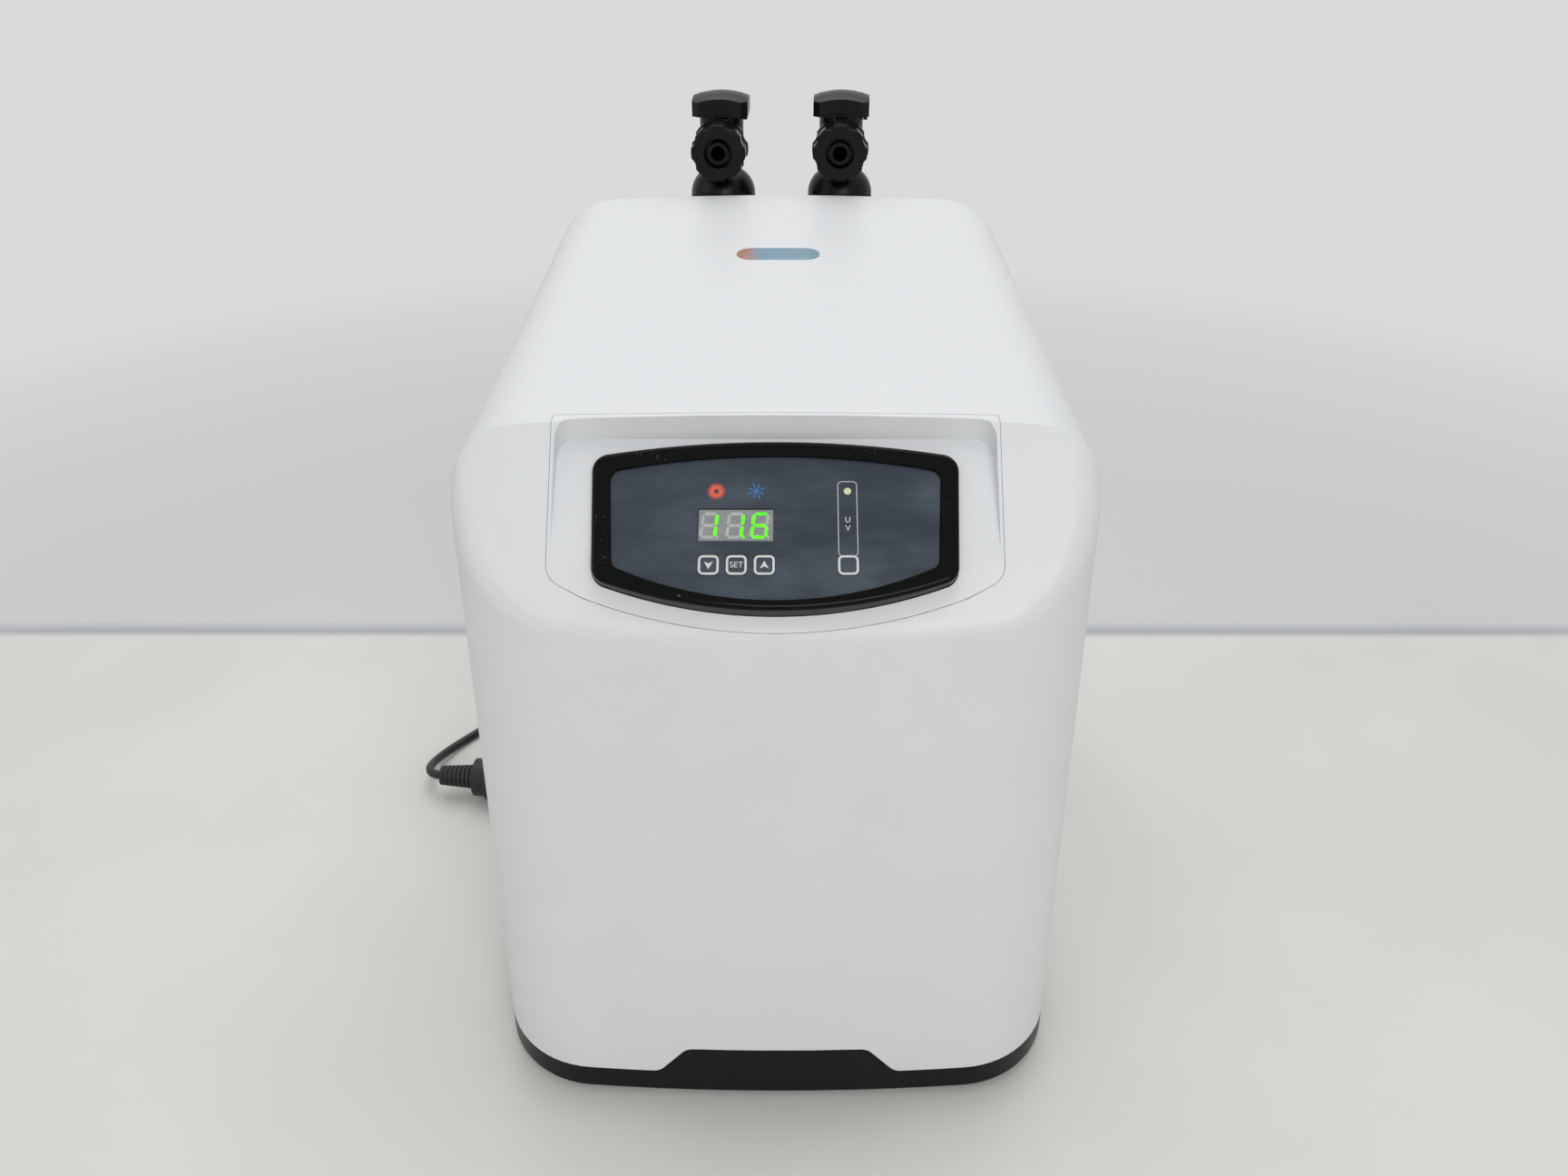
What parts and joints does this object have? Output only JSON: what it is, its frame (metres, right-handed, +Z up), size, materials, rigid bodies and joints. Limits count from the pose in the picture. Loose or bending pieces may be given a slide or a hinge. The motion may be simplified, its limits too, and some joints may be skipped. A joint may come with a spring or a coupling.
{
  "type": "recirculating chiller",
  "caption": "Bench-top recirculating water chiller: bowed moulded hood on a dark tray, sloped keypad display at the front, fan guard and angle taps at the back, and a mains cord.",
  "frame": {"origin": "under the middle of the object's box (the cord left out), on the plane the feet stand on", "axes": "+Z up, +Y from the display to the taps, +X to the right seen from the front"},
  "size_m": [0.4731, 0.6643, 0.5186],
  "materials": {
    "hood_white": "satin",
    "tray_black": "satin",
    "bezel_black": "gloss",
    "window_slate": "satin",
    "led_grey": "matt",
    "badge_blue": "satin",
    "rubber_black": "matt",
    "panel_black": "matt",
    "tap_black": "satin",
    "board_green": "satin",
    "steel_zinc": "satin",
    "steel_black": "satin",
    "aluminium_fin": "satin",
    "copper_pipe": "satin",
    "foam_black": "matt",
    "filter_grey": "matt",
    "hose_grey": "satin",
    "cord_black": "satin"
  },
  "bodies": {
    "cabinet": {"base_tray": "tray_black", "rubber_feet": "rubber_black", "hood": "hood_white", "badge": "badge_blue", "display_insert": "hood_white", "display_bezel": "bezel_black", "display_window": "window_slate", "led_module": "led_grey", "display_board": "board_green", "rear_panel": "panel_black", "fan_guard": "panel_black", "fan_shroud": "panel_black", "fan_motor": "steel_black", "guard_screws": "steel_zinc", "compressor": "steel_black", "compressor_mounts": "rubber_black", "condenser": "aluminium_fin", "condenser_frame": "steel_zinc", "evaporator_vessel": "foam_black", "vessel_cradle": "panel_black", "lamp_tube": "panel_black", "inlet_hose": "hose_grey", "link_hose": "hose_grey", "outlet_hose": "hose_grey", "discharge_pipe": "copper_pipe", "liquid_pipe": "copper_pipe", "capillary_pipe": "copper_pipe", "suction_pipe": "copper_pipe", "filter_drier": "copper_pipe", "front_bracket": "steel_zinc", "power_box": "panel_black", "strain_relief": "cord_black", "cord_tail": "cord_black", "cord_coil": "cord_black", "cord_lead": "cord_black", "cord_plug": "cord_black", "left_port": "tap_black", "left_tap_body": "tap_black", "left_tap_bonnet": "tap_black", "left_seal": "rubber_black", "right_port": "tap_black", "right_tap_body": "tap_black", "right_tap_bonnet": "tap_black", "right_seal": "rubber_black"},
    "fan": {"fan_rotor": "panel_black"},
    "grille": {"side_grille": "panel_black", "grille_filter": "filter_grey"},
    "key_down": {"key_down": "window_slate"},
    "key_set": {"key_set": "window_slate"},
    "key_up": {"key_up": "window_slate"},
    "key_uv": {"key_uv": "window_slate"},
    "left_knob": {"left_tap_knob": "tap_black", "left_tap_plug": "tap_black"},
    "left_union": {"left_union_nut": "tap_black"},
    "left_nut": {"left_hose_nut": "tap_black"},
    "right_knob": {"right_tap_knob": "tap_black", "right_tap_plug": "tap_black"},
    "right_union": {"right_union_nut": "tap_black"},
    "right_nut": {"right_hose_nut": "tap_black"}
  },
  "joints": [
    {"name": "fan_spin", "type": "hinge", "parent": "cabinet", "child": "fan", "pos_m": [0, 0.19115, 0.205], "axis": [0, 1, 0], "continuous": true},
    {"name": "grille_pull", "type": "slide", "parent": "cabinet", "child": "grille", "axis": [0.9997, 0, 0.0227], "range_m": [0, 0.04]},
    {"name": "key_down_press", "type": "slide", "parent": "cabinet", "child": "key_down", "axis": [0, 0.6293, -0.7771], "range_m": [0, 0.0006], "stiffness_N_per_m": 1200},
    {"name": "key_set_press", "type": "slide", "parent": "cabinet", "child": "key_set", "axis": [0, 0.6293, -0.7771], "range_m": [0, 0.0006], "stiffness_N_per_m": 1200},
    {"name": "key_up_press", "type": "slide", "parent": "cabinet", "child": "key_up", "axis": [0, 0.6293, -0.7771], "range_m": [0, 0.0006], "stiffness_N_per_m": 1200},
    {"name": "key_uv_press", "type": "slide", "parent": "cabinet", "child": "key_uv", "axis": [0, 0.6293, -0.7771], "range_m": [0, 0.0006], "stiffness_N_per_m": 1200},
    {"name": "left_knob_turn", "type": "hinge", "parent": "cabinet", "child": "left_knob", "pos_m": [-0.0453, 0.24215, 0.4795], "axis": [0, 0, 1], "range_deg": [0, 90]},
    {"name": "left_union_turn", "type": "hinge", "parent": "cabinet", "child": "left_union", "pos_m": [-0.0453, 0.24215, 0.45], "axis": [0, 0, 1], "continuous": true},
    {"name": "left_nut_turn", "type": "hinge", "parent": "cabinet", "child": "left_nut", "pos_m": [-0.04622, 0.20716, 0.4795], "axis": [-0.0262, -0.9997, 0], "continuous": true},
    {"name": "right_knob_turn", "type": "hinge", "parent": "cabinet", "child": "right_knob", "pos_m": [0.0487, 0.24215, 0.4795], "axis": [0, 0, 1], "range_deg": [0, 90]},
    {"name": "right_union_turn", "type": "hinge", "parent": "cabinet", "child": "right_union", "pos_m": [0.0487, 0.24215, 0.45], "axis": [0, 0, 1], "continuous": true},
    {"name": "right_nut_turn", "type": "hinge", "parent": "cabinet", "child": "right_nut", "pos_m": [0.04687, 0.2072, 0.4795], "axis": [-0.0523, -0.9986, 0], "continuous": true}
  ]
}
